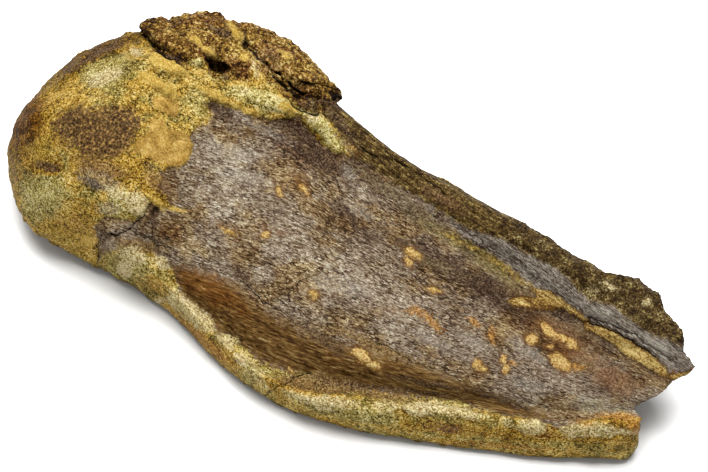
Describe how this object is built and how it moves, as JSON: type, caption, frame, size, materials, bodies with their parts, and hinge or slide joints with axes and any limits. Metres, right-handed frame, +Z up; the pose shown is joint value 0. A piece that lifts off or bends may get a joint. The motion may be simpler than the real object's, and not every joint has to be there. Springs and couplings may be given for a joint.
{
  "type": "fossil dinosaur bone section",
  "caption": "Weathered fossil limb bone section with a rounded joint end, a hollowed shaft face and a broken end, lying flat.",
  "frame": {"origin": "centre of the bounding box in plan, on the surface the bone rests on", "axes": "+X along the bone from the rounded head to the broken end, +Y from the thin front lip to the thick back ridge, +Z up"},
  "size_m": [0.3158, 0.1418, 0.0776],
  "materials": {
    "bone": "dark brown and grey fossil bone with yellow-olive adhering matrix, dull satin"
  },
  "bodies": {
    "root": {"bone": "bone"}
  },
  "joints": []
}
